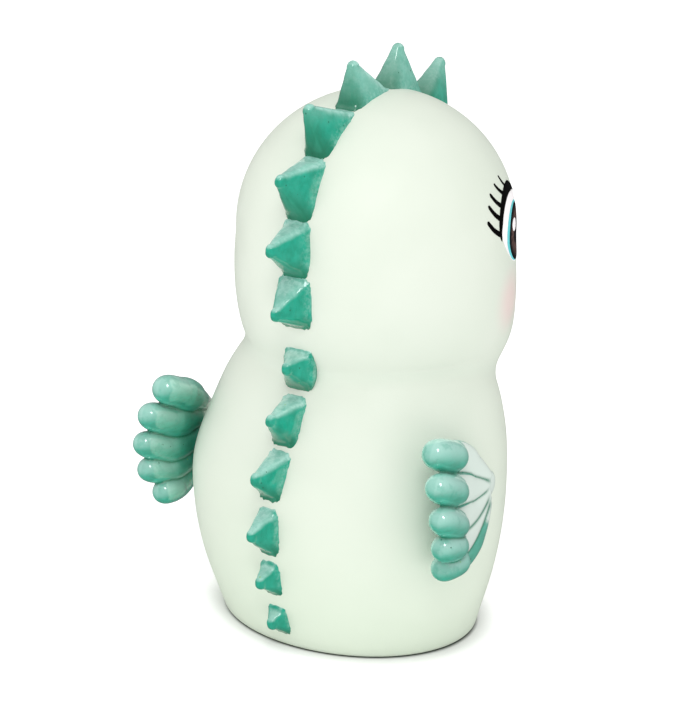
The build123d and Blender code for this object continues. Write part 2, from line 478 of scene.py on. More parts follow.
def spike_section(share, angle, length, width, squareness):
    """A point of a spike's section: a rectangle with round corners, at a share of its size."""
    x = share[0] * length / 2 * power(math.cos(angle), 2 / squareness)
    y = share[1] * width / 2 * power(math.sin(angle), 2 / squareness)
    return x, y


def spike_levels(height):
    """Heights of a spike's rings above the skin, from its root to just under its tip."""
    levels = list(BELOW_SKIN)
    levels += list(np.linspace(0, height - TIP_CAP, SPIKE_RINGS))
    for rise in np.radians(np.arange(12, 90, 13)):
        levels.append(height - TIP_CAP * (1 - math.sin(rise)))
    return levels


def spike_share(level, height, length, width, hollow):
    """How far up its taper a level is, and the share of length and width left there."""
    v = min(max(level / (height - TIP_CAP), 0.0), 1.0)
    over = max(level - (height - TIP_CAP), 0.0) / TIP_CAP
    shrink = math.sqrt(max(1 - over * over, 0.0))
    share = []
    for tip, size in zip(TIP_RADII, (length, width)):
        taper = 1 - v + 2 * tip / size * v
        share.append((taper - hollow * math.sin(math.pi * v ** 0.8)) * shrink)
    return v, share


def make_spike(number, tree, low_angle, high_angle, width, height, lean):
    """A spike on the skin between two angles, with its foot's paint spread unevenly."""
    low, high = back_point(tree, low_angle), back_point(tree, high_angle)
    up_back = (high - low).normalized()
    outward = up_back.cross(Vector((1, 0, 0))).normalized()
    length = (high - low).length / MM
    middle = (low + high) / 2
    dice = random.Random(100 + number)
    side_lean = dice.uniform(-SIDE_LEAN_LIMIT, SIDE_LEAN_LIMIT)
    hollow = dice.uniform(*FACE_HOLLOW)
    levels = spike_levels(height)
    points, tipward, low_end = [], [], []
    for level in levels:
        v, share = spike_share(level, height, length, width, hollow)
        squareness = FOOT_SQUARENESS - SQUARENESS_LOSS * v
        offset = lean * v ** 1.15
        foot = math.exp(-((level - FOOT_LEVEL) / FOOT_FADE) ** 2)
        for step in range(SPIKE_SIDES):
            angle = 2 * math.pi * step / SPIKE_SIDES
            x, y = spike_section(share, angle, length, width, squareness)
            rim_spot = Vector((x * RIM_NOISE_SCALE, y * RIM_NOISE_SCALE, number * 3.0))
            wide, tall = WAVE_NOISE_SCALES
            wave_spot = Vector((x * wide, y * wide, level * tall + number))
            wander = RIM_RAGGEDNESS * noise.noise(rim_spot) * foot
            wander += WAVINESS * noise.noise(wave_spot)
            grow = 1 + wander / max(math.hypot(x, y), 1.0)
            below = -power(math.cos(angle), 2 / squareness)
            # low_end: how near a point is to the spike's lower end, where the teal gets painted
            # shade.
            low_end.append(smoothstep(0.3, 1.0, below) * (1 - 0.7 * v))
            x *= 1 + 2 * FOOT_FLARE * foot / length
            spot = (
                middle
                + up_back * ((x * grow + offset) * MM)
                + Vector((1, 0, 0)) * ((y * grow + side_lean * v) * MM)
                + outward * (level * MM)
            )
            points.append(spot)
            tipward.append(v)
    tip = middle + up_back * (lean * MM) + outward * (height * MM)
    tip += Vector((side_lean * MM, 0, 0))
    faces = ring_faces(len(levels), SPIKE_SIDES, False)
    faces.append(tuple(range(SPIKE_SIDES)))
    last = (len(levels) - 1) * SPIKE_SIDES
    top = len(points)
    points.append(tip)
    tipward.append(1.0)
    low_end.append(0.0)
    for step in range(SPIKE_SIDES):
        faces.append((last + step, last + (step + 1) % SPIKE_SIDES, top))
    piece = add_mesh(f"spike_{number:02d}", points, faces)
    set_attribute(piece, "tipward", tipward)
    set_attribute(piece, "low_end", low_end)
    return piece


# ---- Building the fins ----


def finger_path(side_name, index):
    """Points along a finger: a smooth curve from the hub past its bend, on the left side."""
    tilt = math.radians(MIDDLE_FINGER_TILT + (2 - index) * FINGER_STEP)
    root = Vector((ROOT_X, *ROOTS[side_name][index]))
    bend = Vector(BENDS[side_name][index])
    tip_y = PIVOT[1] + FINGER_REACH * math.cos(tilt)
    tip_z = PIVOT[2] + FINGER_REACH * math.sin(tilt)
    tip = Vector((TIP_PLANE_X + FINGER_FLARE[index], tip_y, tip_z))
    first, second = (bend - root).length, (tip - bend).length
    at_bend = first / (first + second)
    pull = (bend - root * (1 - at_bend) ** 2 - tip * at_bend ** 2) / (
        2 * at_bend * (1 - at_bend)
    )
    points = []
    for step in range(FINGER_STEPS + 1):
        t = step / FINGER_STEPS
        points.append(root * (1 - t) ** 2 + pull * (2 * t * (1 - t)) + tip * t * t)
    return points


def finger_frames(side_name, index):
    """Along a finger: its middle, direction, in-plane side, outward side and share of length."""
    points = finger_path(side_name, index)
    frames = []
    for step, point in enumerate(points):
        before, after = points[max(step - 1, 0)], points[min(step + 1, FINGER_STEPS)]
        along = (after - before).normalized()
        thick = (Vector((1, 0, 0)) - along * along.x).normalized()
        frames.append((point, along, along.cross(thick), thick, step / FINGER_STEPS))
    return frames


def finger_size(index, share):
    """Half width, and thickness towards the outside and the inside, at a share of a stem."""
    radius = STEM_WIDTH_SHARE * FINGER_RADII[index]
    at_bend = BEND_INNER_THICKNESS[index]
    early = min(share / BEND_SHARE, 1.0)
    late = min(max((share - BEND_SHARE) / BULB_RUN, 0.0), 1.0)
    half_width = ROOT_HALF_WIDTH + (BEND_HALF_WIDTH - ROOT_HALF_WIDTH) * early
    half_width += (radius - BEND_HALF_WIDTH) * late
    web = min(max((share - WEB_START) / WEB_RUN, 0.0), 1.0)
    half_width += WEB_HALF_WIDTH * math.sin(math.pi * web)
    inner = ROOT_HALF_THICKNESS + (at_bend - ROOT_HALF_THICKNESS) * early
    inner += (radius - at_bend) * min(late * INNER_SWELL[index], 1.0)
    outer = ROOT_HALF_THICKNESS + (STEM_OUTER_THICKNESS - ROOT_HALF_THICKNESS) * early
    return half_width, outer, inner


def sweep_points(rings, sides):
    """Points round each ring, which is a middle, two directions, and its reach along them."""
    points = []
    for spot, wide, thick, half_width, outer, inner in rings:
        for step in range(sides):
            angle = 2 * math.pi * step / sides
            depth = outer if math.sin(angle) > 0 else inner
            across = wide * (half_width * math.cos(angle))
            points.append(spot + across + thick * (depth * math.sin(angle)))
    return points, len(rings)


def stem_rings(side_name, index, sides):
    """The stem of a finger, which grows from the hub into the bulb."""
    rings = []
    for point, along, wide, thick, share in finger_frames(side_name, index):
        rings.append((point, wide, thick, *finger_size(index, share)))
    return sweep_points(rings, sides)


def bulb_axis(side_name, index):
    """The middle of a finger's bulb, the way it points, and two directions across it."""
    frames = finger_frames(side_name, index)
    tip = frames[-1][0]
    spots = [frame[0] for frame in frames]
    setback = BULB_SETBACKS[index]
    middle = min(spots, key=lambda spot: abs((spot - tip).length - setback))
    behind = min(spots, key=lambda spot: abs((spot - tip).length - 2 * setback))
    along = (tip - behind).normalized()
    thick = (Vector((1, 0, 0)) - along * along.x).normalized()
    return middle, along, along.cross(thick), thick


def bulb_rings(side_name, index, sides):
    """The round bulb at a finger's end."""
    middle, along, wide, thick = bulb_axis(side_name, index)
    rings = []
    for turn in np.radians(np.arange(-86, 88, 4)):
        offset = math.sin(turn)
        width = (1 - abs(offset) ** BULB_ROUNDNESS) ** (1 / BULB_ROUNDNESS)
        reach = width * FINGER_RADII[index]
        spot = middle + along * (offset * BULB_HALF_LENGTHS[index])
        rings.append((spot, wide, thick, reach, reach, reach))
    return sweep_points(rings, sides)


def bulb_gap(point, index, axis):
    """Roughly how far a point is outside a finger's bulb, in mm."""
    middle, along = axis[:2]
    away = point - middle
    offset = away.dot(along)
    across = (away - along * offset).length
    share = (abs(offset) / BULB_HALF_LENGTHS[index]) ** BULB_ROUNDNESS
    share += (across / FINGER_RADII[index]) ** BULB_ROUNDNESS
    return (share ** (1 / BULB_ROUNDNESS) - 1) * FINGER_RADII[index]


def hub_rings(sides):
    """The domed hub, the shaft and the flange of the left fin, turned about the pivot."""
    profile = [
        (FLANGE_SPAN[0], FLANGE_RADIUS),
        (FLANGE_SPAN[1], FLANGE_RADIUS),
        (FLANGE_SPAN[1], SHAFT_RADIUS),
        (PIVOT[0], SHAFT_RADIUS),
        (PIVOT[0], HUB_RADIUS),
    ]
    for angle in np.radians(np.arange(10, 90, 10)):
        x = PIVOT[0] + HUB_RIM + HUB_DOME * math.sin(angle)
        profile.append((x, HUB_RADIUS * math.cos(angle)))
    points = []
    for x, radius in profile:
        for step in range(sides):
            angle = 2 * math.pi * step / sides
            y = PIVOT[1] + radius * math.cos(angle)
            z = PIVOT[2] + radius * math.sin(angle)
            points.append(Vector((x, y, z)))
    return points, len(profile)


def merge_by_voxels(piece, voxel):
    """Turns overlapping closed solids into one skin."""
    remesh = piece.modifiers.new("merge", "REMESH")
    remesh.mode = "VOXEL"
    remesh.voxel_size = voxel
    remesh.use_smooth_shade = True
    soften = piece.modifiers.new("soften", "SMOOTH")
    soften.factor = 0.5
    soften.iterations = 6
    graph = bpy.context.evaluated_depsgraph_get()
    merged = bpy.data.meshes.new_from_object(piece.evaluated_get(graph))
    piece.modifiers.clear()
    old = piece.data
    piece.data = merged
    bpy.data.meshes.remove(old)


def finger_gaps(point, fingers, bulbs):
    """For each finger: the gap to it in mm, its share of length, number and outwardness."""
    found = []
    for index, frames in enumerate(fingers):
        nearest = min(frames, key=lambda f: (f[0] - point).length_squared)
        middle, along, wide, thick, share = nearest
        half_width, outer, inner = finger_size(index, share)
        away = point - middle
        depth = away.dot(thick)
        side = math.hypot(away.dot(wide) / half_width, depth / (outer if depth > 0 else inner))
        gap = (side - 1) * half_width if share < 1 else half_width
        gap = min(gap, bulb_gap(point, index, bulbs[index]))
        found.append((gap, share, index, depth))
    return sorted(found)


def mark_fin(piece, side_name):
    """Says where the fin is painted: the bulbs and the stems' inner sides, and where painted
    shade goes in the grooves.
    """
    count = len(FINGER_RADII)
    fingers = [finger_frames(side_name, index) for index in range(count)]
    bulbs = [bulb_axis(side_name, index) for index in range(count)]
    paint, groove_shade, outside, tipward = [], [], [], []
    for vertex in piece.data.vertices:
        spot = vertex.co / MM
        nearest, second = finger_gaps(spot, fingers, bulbs)[:2]
        gap, share, index, depth = nearest
        from_hub = math.hypot(spot.y - PIVOT[1], spot.z - PIVOT[2])
        # Painted shade along the grooves, where two fingers meet.
        line = math.exp(-((second[0] - gap) / GROOVE_HALF_WIDTH) ** 2)
        groove_shade.append(line * smoothstep(*GROOVE_FROM_HUB, from_hub))
        outer = smoothstep(*OUTER_DEPTHS, depth)
        off_bulb = min(bulb_gap(spot, number, axis) for number, axis in enumerate(bulbs))
        bulb = 1 - smoothstep(*OFF_BULB, off_bulb)
        stem = smoothstep(*STEM_PAINT_SHARES, share)
        lowest = LOWEST_STEM_PAINT if index == count - 1 else 0.0
        paint.append(max(bulb, lowest * stem) * outer + (1 - outer) * stem)
        outside.append(outer)
        tipward.append(smoothstep(*TIPWARD_SHARES, share))
    set_attribute(piece, "paint", paint)
    set_attribute(piece, "groove_shade", groove_shade)
    set_attribute(piece, "outside", outside)
    set_attribute(piece, "tipward", tipward)


def make_fin(side_name, side):
    """A fin built and marked on the left side, then mirrored if it is the right one."""
    points, faces = [], []
    parts = [hub_rings(FIN_SIDES)]
    for index in range(len(FINGER_RADII)):
        parts.append(stem_rings(side_name, index, FIN_SIDES))
        parts.append(bulb_rings(side_name, index, FIN_SIDES))
    for part_points, ring_count in parts:
        start = len(points)
        points += [p * MM for p in part_points]
        for face in ring_faces(ring_count, FIN_SIDES, True):
            faces.append(tuple(start + corner for corner in face))
    piece = add_mesh(f"fin_{side_name}", points, faces)
    merge_by_voxels(piece, FIN_VOXEL * MM)
    mark_fin(piece, side_name)
    if side < 0:
        piece.data.transform(Matrix.Scale(-1, 4, (1, 0, 0)))
        piece.data.flip_normals()
    return piece


# ---- Building the face ----


def face_point(tree, side, across, up, lift):
    """A point on the head: across is along the skin from the eye's middle towards the back."""
    turn = side * (math.radians(EYE_TURN) + across / HEAD_GIRTH_RADIUS)
    way = Vector((math.sin(turn), -math.cos(turn), 0))
    middle = Vector((0, FACE_AXIS_Y, EYE_HEIGHT + up)) * MM
    spot, normal = tree.ray_cast(middle + way * FACE_RAY_START, -way)[:2]
    return spot + normal * (lift * MM)


def make_print(name, tree, side, outline, spine, lift):
    """A thin printed layer on the head. Each outline point shrinks towards its spine point."""
    points, faces = [], []
    for level in (lift, PRINT_ROOT):
        for ring in range(PRINT_RINGS + 1):
            share = 1 - ring / PRINT_RINGS
            for (across, up), (to_across, to_up) in zip(outline, spine):
                x = to_across + (across - to_across) * share
                y = to_up + (up - to_up) * share
                points.append(face_point(tree, side, x, y, level))
    count = len(outline)
    layer = (PRINT_RINGS + 1) * count
    for level in range(2):
        for face in ring_faces(PRINT_RINGS + 1, count, False):
            faces.append(tuple(level * layer + corner for corner in face))
    for step in range(count):
        beside = (step + 1) % count
        faces.append((step, beside, layer + beside, layer + step))
    return add_mesh(name, points, faces)


def oval(across, up, half_width, half_height, steps=72):
    """Outline and spine of an oval, whose spine is its middle."""
    outline = []
    for angle in np.linspace(0, 2 * math.pi, steps, endpoint=False):
        x, y = half_width * math.cos(angle), half_height * math.sin(angle)
        outline.append((across + x, up + y))
    return outline, [(across, up)] * steps


def eye_outline_point(angle):
    """The white of the eye: round above, drawn in towards the lower outer corner."""
    c, s = math.cos(angle), math.sin(angle)
    exponent = OUTER_CORNER_POWER if c > 0 and s < 0 else 2.0
    half_height = EYE_TOP if s > 0 else EYE_BOTTOM
    size = (abs(c) ** exponent + abs(s) ** exponent) ** (-1 / exponent)
    return size * c * EYE_HALF_WIDTH, size * s * half_height


def eye_white():
    steps = 96
    angles = [2 * math.pi * step / steps for step in range(steps)]
    return [eye_outline_point(angle) for angle in angles], [(0.0, 0.0)] * steps


def stroke(centres, half_widths):
    """Outline and spine of a brush stroke along centre points, with the given half widths."""
    left, right = [], []
    for index, (centre, half) in enumerate(zip(centres, half_widths)):
        before = centres[max(index - 1, 0)]
        after = centres[min(index + 1, len(centres) - 1)]
        along = Vector((after[0] - before[0], after[1] - before[1])).normalized()
        across = Vector((-along.y, along.x)) * half
        left.append((centre[0] + across.x, centre[1] + across.y))
        right.append((centre[0] - across.x, centre[1] - across.y))
    return left + right[::-1], list(centres) + list(centres)[::-1]


def lid_line():
    """The upper lid's line, thicker at the top and drawn out to points at its ends."""
    centres, halves = [], []
    steps = 48
    for step in range(steps + 1):
        share = step / steps
        angle = math.radians(LID_SPAN[0] + (LID_SPAN[1] - LID_SPAN[0]) * share)
        x, y = eye_outline_point(angle)
        out = Vector((x, y)).normalized()
        half = 1.1 + 0.5 * max(math.sin(angle), 0.0) ** 2
        half *= min(1.0, 4 * share + 0.25) * min(1.0, 4 * (1 - share) + 0.12)
        half *= 1 - max(0.0, 1 - share * steps / 2) ** 2
        centres.append((x + out.x * LID_OFFSET, y + out.y * LID_OFFSET))
        halves.append(max(half, 0.02))
    return stroke(centres, halves)


def lash(root, tip, thickness):
    """A lash that sags a little between its root and its rounded tip."""
    centres, halves = [], []
    steps = 20
    along = Vector(tip) - Vector(root)
    sag = Vector((-along.y, along.x)).normalized() * (-LASH_SAG * along.length)
    if sag.y > 0:
        sag = -sag
    for step in range(steps + 1):
        share = step / steps
        spot = Vector(root) + along * share + sag * math.sin(math.pi * share)
        taper = 1.05 - 0.3 * share
        end = along.length * (1 - share) / (thickness / 2)
        rounding = math.sqrt(max(1 - max(1 - end, 0.0) ** 2, 0.0))
        centres.append((spot.x, spot.y))
        halves.append(max(thickness / 2 * taper * rounding, 0.01))
    return stroke(centres, halves)


def smile():
    """A small plain smile in the middle of the face."""
    centres, halves = [], []
    steps = 32
    for step in range(steps + 1):
        t = 2 * step / steps - 1
        turn = math.radians(SMILE_HALF_ANGLE * t - EYE_TURN)
        up = SMILE_HEIGHT - EYE_HEIGHT + SMILE_RISE * t * t
        centres.append((turn * HEAD_GIRTH_RADIUS, up))
        halves.append(max(SMILE_HALF_THICKNESS * math.sqrt(max(1 - t * t, 0.0)), 0.01))
    return stroke(centres, halves)


# ---- Building the materials ----


class Paint:
    """A procedural material: adds nodes and links them up."""

    def __init__(self, name):
        self.material = bpy.data.materials.new(name)
        self.material.use_nodes = True
        self.tree = self.material.node_tree
        self.shader = self.tree.nodes["Principled BSDF"]
        coordinates = self.add("ShaderNodeTexCoord")
        self.place = coordinates.outputs["Object"]
        self.facing = coordinates.outputs["Normal"]

    def add(self, kind, **settings):
        node = self.tree.nodes.new(kind)
        for key, value in settings.items():
            setattr(node, key, value)
        return node

    def link(self, source, target):
        self.tree.links.new(source, target)

    def feed(self, socket, value):
        """Links a socket to another one, or sets it to a plain value."""
        if isinstance(value, bpy.types.NodeSocket):
            self.link(value, socket)
        else:
            socket.default_value = value

    def set(self, name, value):
        self.feed(self.shader.inputs[name], value)

    def math(self, operation, *values, clamp=False):
        node = self.add("ShaderNodeMath", operation=operation, use_clamp=clamp)
        for socket, value in zip(node.inputs, values):
            self.feed(socket, value)
        return node.outputs[0]

    def step(self, value, low, high, to_low=0.0, to_high=1.0):
        """Maps value from low..high to to_low..to_high with soft ends."""
        node = self.add("ShaderNodeMapRange", interpolation_type="SMOOTHSTEP")
        for socket, item in zip(node.inputs, (value, low, high, to_low, to_high)):
            self.feed(socket, item)
        return node.outputs[0]

    def mix(self, factor, first, second):
        node = self.add("ShaderNodeMix", data_type="RGBA")
        self.feed(node.inputs[0], factor)
        self.feed(node.inputs[6], colour(first))
        self.feed(node.inputs[7], colour(second))
        return node.outputs[2]

    def stretched(self, scale):
        """The place on the object, scaled differently along each axis."""
        node = self.add("ShaderNodeMapping")
        self.link(self.place, node.inputs["Vector"])
        node.inputs["Scale"].default_value = scale
        return node.outputs["Vector"]

    def noise(self, scale, detail=2.0, rough=0.5, vector=None, distortion=0.0):
        node = self.add("ShaderNodeTexNoise")
        self.link(vector or self.place, node.inputs["Vector"])
        node.inputs["Scale"].default_value = scale
        node.inputs["Detail"].default_value = detail
        node.inputs["Roughness"].default_value = rough
        node.inputs["Distortion"].default_value = distortion
        return node.outputs["Fac"]

    def dots(self, scale, size, keep):
        """Small round specks: 1 inside a speck. keep is the share of cells that have one."""
        node = self.add("ShaderNodeTexVoronoi")
        self.link(self.place, node.inputs["Vector"])
        node.inputs["Scale"].default_value = scale
        near = self.math("LESS_THAN", node.outputs["Distance"], size)
        pick = self.add("ShaderNodeSeparateColor")
        self.link(node.outputs["Color"], pick.inputs[0])
        chosen = self.math("LESS_THAN", pick.outputs[0], keep)
        return self.math("MULTIPLY", near, chosen)

    def attribute(self, name):
        node = self.add("ShaderNodeAttribute", attribute_name=name)
        return node.outputs["Fac"]

    def part(self, vector, axis):
        node = self.add("ShaderNodeSeparateXYZ")
        self.link(vector, node.inputs[0])
        return node.outputs[axis]

    def mirrored(self):
        """The place on the object with both sides alike: |x|, y, z."""
        unsigned = self.add("ShaderNodeVectorMath", operation="ABSOLUTE")
        self.link(self.place, unsigned.inputs[0])
        sided = self.add("ShaderNodeCombineXYZ")
        for axis, source in (("X", unsigned.outputs[0]), ("Y", self.place), ("Z", self.place)):
            self.link(self.part(source, axis), sided.inputs[axis])
        return sided.outputs[0]

    def bump(self, height, depth):
        node = self.add("ShaderNodeBump")
        node.inputs["Strength"].default_value = 1.0
        node.inputs["Distance"].default_value = depth
        self.link(height, node.inputs["Height"])
        self.link(node.outputs[0], self.shader.inputs["Normal"])


def linear(channel):
    share = channel / 255
    return share / 12.92 if share <= 0.04045 else ((share + 0.055) / 1.055) ** 2.4


def colour(value):
    """A socket as it is, or an sRGB triple of 0-255 as a linear colour."""
    if isinstance(value, bpy.types.NodeSocket):
        return value
    return (*(linear(channel) for channel in value), 1.0)


def body_vinyl():
    """Soft matt vinyl: faint blotches, greener low down, blushed cheeks, and painted shade,
    darker and greener, in the neck fold.
    """
    p = Paint("body_vinyl")
    blotch = p.noise(22, 3)
    base = p.mix(p.step(blotch, 0.35, 0.65), MINT, MINT_BLOTCH)
    lowness = p.step(p.part(p.place, "Z"), 0.0, LOW_TINT_TOP * MM, 0.4, 0.0)
    base = p.mix(lowness, base, MINT_LOW)
    # Painted shade: darker, greener mint deep in the neck fold.
    base = p.mix(p.math("MULTIPLY", p.attribute("fold"), 0.10), base, MINT_FOLD_SHADE)
    gap = p.add("ShaderNodeVectorMath", operation="DISTANCE")
    p.link(p.mirrored(), gap.inputs[0])
    gap.inputs[1].default_value = [c * MM for c in CHEEK]
    blush = p.step(gap.outputs["Value"], CHEEK_RADIUS * MM, CHEEK_CORE * MM)
    base = p.mix(p.math("MULTIPLY", blush, 0.6), base, BLUSH)
    p.set("Base Color", base)
    p.set("Roughness", p.step(p.noise(140, 3), 0.3, 0.7, 0.40, 0.50))
    p.set("Specular IOR Level", 0.35)
    grain = p.math("ADD", p.noise(2600, 2), p.math("MULTIPLY", p.noise(90, 2), 1.5))
    p.bump(grain, 0.00003)
    return p.material


def teal_layers(p, lightness, streak):
    """Brushed teal paint: streaked and blotchy, made paler by lightness, which carries painted
    light, and darker where it is thick.
    """
    base = p.mix(p.step(streak, 0.3, 0.7), TEAL, TEAL_STREAK)
    blotch = p.step(p.noise(260, 3), 0.42, 0.68)
    base = p.mix(p.math("MULTIPLY", blotch, 0.22), base, TEAL_BLOTCH)
    thick = p.step(p.noise(190, 4, 0.6), 0.5, 0.66)
    lightness = p.math("MULTIPLY", lightness, p.step(thick, 0, 1, 1.0, 0.72))
    return p.mix(lightness, base, TEAL_PALE)


def add_specks(p, base):
    """Sparse dark specks and rarer yellow-green flecks."""
    specks = p.dots(620, 0.17, 0.09)
    base = p.mix(p.math("MULTIPLY", specks, 0.7), base, DARK_SPECK)
    flecks = p.dots(410, 0.14, 0.03)
    return p.mix(p.math("MULTIPLY", flecks, 0.6), base, PALE_FLECK)


def crest_paint():
    """The spikes' teal: painted light makes it paler where it faces up and on the crown, the
    paint is paler round the foot, and painted shade darkens each spike's lower end.
    """
    p = Paint("crest_paint")
    streak = p.noise(1, 4, 0.65, vector=p.stretched((900, 260, 260)), distortion=0.3)
    up = p.part(p.facing, "Z")
    # Painted light: the teal turns paler where it faces up.
    lightness = p.step(up, 0.26, 0.85, 0.0, 0.92)
    grain = p.step(p.noise(700, 4, 0.7), 0.38, 0.66)
    # Painted light: paler still on the crown.
    crown = p.step(p.part(p.place, "Z"), *(z * MM for z in CROWN_LIGHT_SPAN), 0.0, 0.58)
    lightness = p.math("ADD", lightness, crown, clamp=True)
    fringe = p.step(p.attribute("tipward"), 0.0, 0.4, 0.34, 0.0)
    fringe = p.math("MULTIPLY", fringe, p.step(p.attribute("low_end"), 0.1, 0.7, 1.0, 0.1))
    lightness = p.math("ADD", lightness, p.math("MULTIPLY", fringe, grain), clamp=True)
    lightness = p.math("MULTIPLY", lightness, p.step(grain, 0, 1, 0.8, 1.0))
    base = add_specks(p, teal_layers(p, lightness, streak))
    # Painted shade: darker teal at the lower end of each spike.
    base = p.mix(p.math("MULTIPLY", p.attribute("low_end"), 0.8), base, TEAL_UNDER_SHADE)
    p.set("Base Color", base)
    p.set("Roughness", p.step(p.noise(320, 2), 0.3, 0.7, 0.40, 0.50))
    p.set("Specular IOR Level", 0.15)
    p.set("Coat Weight", 0.8)
    p.set("Coat Roughness", 0.12)
    p.set("Coat IOR", 2.0)
    p.bump(p.math("ADD", streak, p.noise(900, 2)), 0.00004)
    return p.material


def fin_paint():
    """The fins' glossy teal with bare pale stems, painted light where they face up, on the outer
    side and towards the tips, and painted shade in the grooves.
    """
    p = Paint("fin_paint")
    streak = p.noise(1, 4, 0.6, vector=p.stretched((500, 200, 900)), distortion=0.2)
    up = p.part(p.facing, "Z")
    # Painted light: paler on the outer side and towards the tips, mostly where facing up.
    outer = p.math("MULTIPLY", p.attribute("outside"), 0.14)
    outer_tip_light = p.math("MULTIPLY", p.attribute("tipward"), 0.22)
    outer_tip_light = p.math("MULTIPLY", p.math("ADD", outer, outer_tip_light), p.step(up, -0.6, 0.2, 0.15, 1.0))
    # Painted light: paler where facing up, more so towards the tips.
    upward_light = p.step(up, -0.3, 0.7, 0.0, 0.6)
    upward_light = p.math("MULTIPLY", upward_light, p.step(p.attribute("tipward"), 0.0, 0.8, 0.4, 1.0))
    lightness = p.math("ADD", upward_light, outer_tip_light, clamp=True)
    base = add_specks(p, teal_layers(p, lightness, streak))
    edge = p.math("ADD", p.attribute("paint"), p.step(p.noise(700, 3), 0, 1, -0.12, 0.12))
    bare = p.step(edge, 0.25, 0.75, 1.0, 0.0)
    base = p.mix(bare, base, BARE_VINYL)
    # Painted shade: dark teal in the grooves between the stems.
    base = p.mix(p.math("MULTIPLY", p.attribute("groove_shade"), 0.9), base, TEAL_GROOVE_SHADE)
    p.set("Base Color", base)
    p.set("Roughness", p.step(p.noise(300, 2), 0.3, 0.7, 0.28, 0.36))
    p.set("Specular IOR Level", 0.15)
    p.set("Coat Weight", 1.0)
    p.set("Coat Roughness", 0.12)
    p.set("Coat IOR", 2.3)
    p.bump(p.math("ADD", streak, p.noise(800, 2)), 0.00003)
    return p.material


def print_ink(name, first, second):
    """Flat printed ink with a little unevenness."""
    p = Paint(name)
    p.set("Base Color", p.mix(p.noise(300, 3), first, second))
    p.set("Roughness", p.step(p.noise(600, 2), 0, 1, 0.54, 0.66))
    p.set("Specular IOR Level", 0.05)
    p.bump(p.noise(1800, 2), 0.00001)
    return p.material


def iris_ink(centre):
    """Brown iris with a black rim, a black pupil and fine streaks that run outwards."""
    p = Paint("iris_ink")
    away = p.add("ShaderNodeVectorMath", operation="SUBTRACT")
    p.link(p.mirrored(), away.inputs[0])
    away.inputs[1].default_value = centre
    way = p.add("ShaderNodeVectorMath", operation="NORMALIZE")
    p.link(away.outputs[0], way.inputs[0])
    streak = p.noise(9, 3, 0.6, vector=way.outputs[0])
    brown = p.mix(p.step(streak, 0.35, 0.65), IRIS_DARK, IRIS_LIGHT)
    depth = p.attribute("depth")
    brown = p.mix(p.step(depth, 0.5, 0.62), brown, PUPIL)
    p.set("Base Color", p.mix(p.step(depth, 0.08, 0.42, 1.0, 0.0), brown, IRIS_RIM))
    p.set("Roughness", p.step(p.noise(600, 2), 0, 1, 0.45, 0.55))
    p.set("Specular IOR Level", 0.05)
    p.bump(p.noise(1800, 2), 0.00001)
    return p.material


def stopper_rubber():
    """Dull grey-green rubber with a fine grain."""
    p = Paint("stopper_rubber")
    p.set("Base Color", p.mix(p.noise(120, 3), (206, 210, 202), (192, 197, 190)))
    p.set("Roughness", p.step(p.noise(400, 2), 0.3, 0.7, 0.55, 0.7))
    p.bump(p.math("ADD", p.noise(1500, 3), p.noise(220, 2)), 0.00006)
    return p.material


def floor_white():
    """A white floor that glows a little away from the figure, with a painted contact shadow in a
    ring round the base.
    """
    p = Paint("floor_white")
    length = p.add("ShaderNodeVectorMath", operation="LENGTH")
    p.link(p.stretched((1.0, BODY_RINGS[0][1] / BODY_RINGS[0][2], 1.0)), length.inputs[0])
    away = length.outputs["Value"]
    pale = p.mix(p.noise(3, 2), (250, 250, 250), (247, 247, 247))
    # Painted contact shadow: a thin dark ring just round the base's rim.
    inside = p.step(away, *CONTACT_RADII[:2])
    outside = p.step(away, *CONTACT_RADII[2:], 1.0, 0.0)
    contact = p.math("MULTIPLY", outside, inside)
    p.set("Base Color", p.mix(contact, pale, CONTACT_SHADE))
    p.set("Roughness", 0.9)
    p.set("Specular IOR Level", 0.0)
    # Painted light: the glow starts just outside the base, lightening the figure's shadow on the
    # floor.
    near = p.step(away, 0.042, 0.052, 0.0, 0.32)
    far = p.step(away, 0.06, 0.40, 0.0, 0.20)
    p.set("Emission Color", (1, 1, 1, 1))
    p.set("Emission Strength", p.math("ADD", near, far))
    return p.material


# ---- Putting it together ----


def dress(piece, material):
    piece.data.materials.clear()
    piece.data.materials.append(material)


def place(piece, body, material, replaced=None):
    """Gives a piece its material and its body, and hides the CAD node it stands for."""
    dress(piece, material)
    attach(piece, body)
    if replaced:
        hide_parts(replaced)


def make_eye(tree, side_name, side, inks):
    """One eye's printed layers: the white, a blue ring, the iris, a glint, lid and lashes."""

    def put(name, shape, lift, ink):
        piece = make_print(f"{name}_{side_name}", tree, side, *shape, lift)
        place(piece, "figure", ink)
        return piece

    put("eye_white", eye_white(), LIFTS["white"], inks["white"])
    put("iris_ring", oval(*RING_OVAL), LIFTS["ring"], inks["ring"])
    iris_shape = oval(*IRIS_PLACE, IRIS_HALF_WIDTH, IRIS_HALF_HEIGHT)
    iris = put("iris", iris_shape, LIFTS["iris"], inks["iris"])
    depths = []
    middle = face_point(tree, side, *IRIS_PLACE, 0.0)
    for vertex in iris.data.vertices:
        depths.append(1 - (vertex.co - middle).length / (IRIS_HALF_WIDTH * MM))
    set_attribute(iris, "depth", depths)
    put("glint", oval(*GLINT_OVAL, steps=40), LIFTS["glint"], inks["white"])
    put("lid", lid_line(), LIFTS["lid"], inks["black"])
    for number, (root, tip, thickness) in enumerate(LASHES, start=1):
        put(f"lash_{number}", lash(root, tip, thickness), LIFTS["lash"], inks["black"])


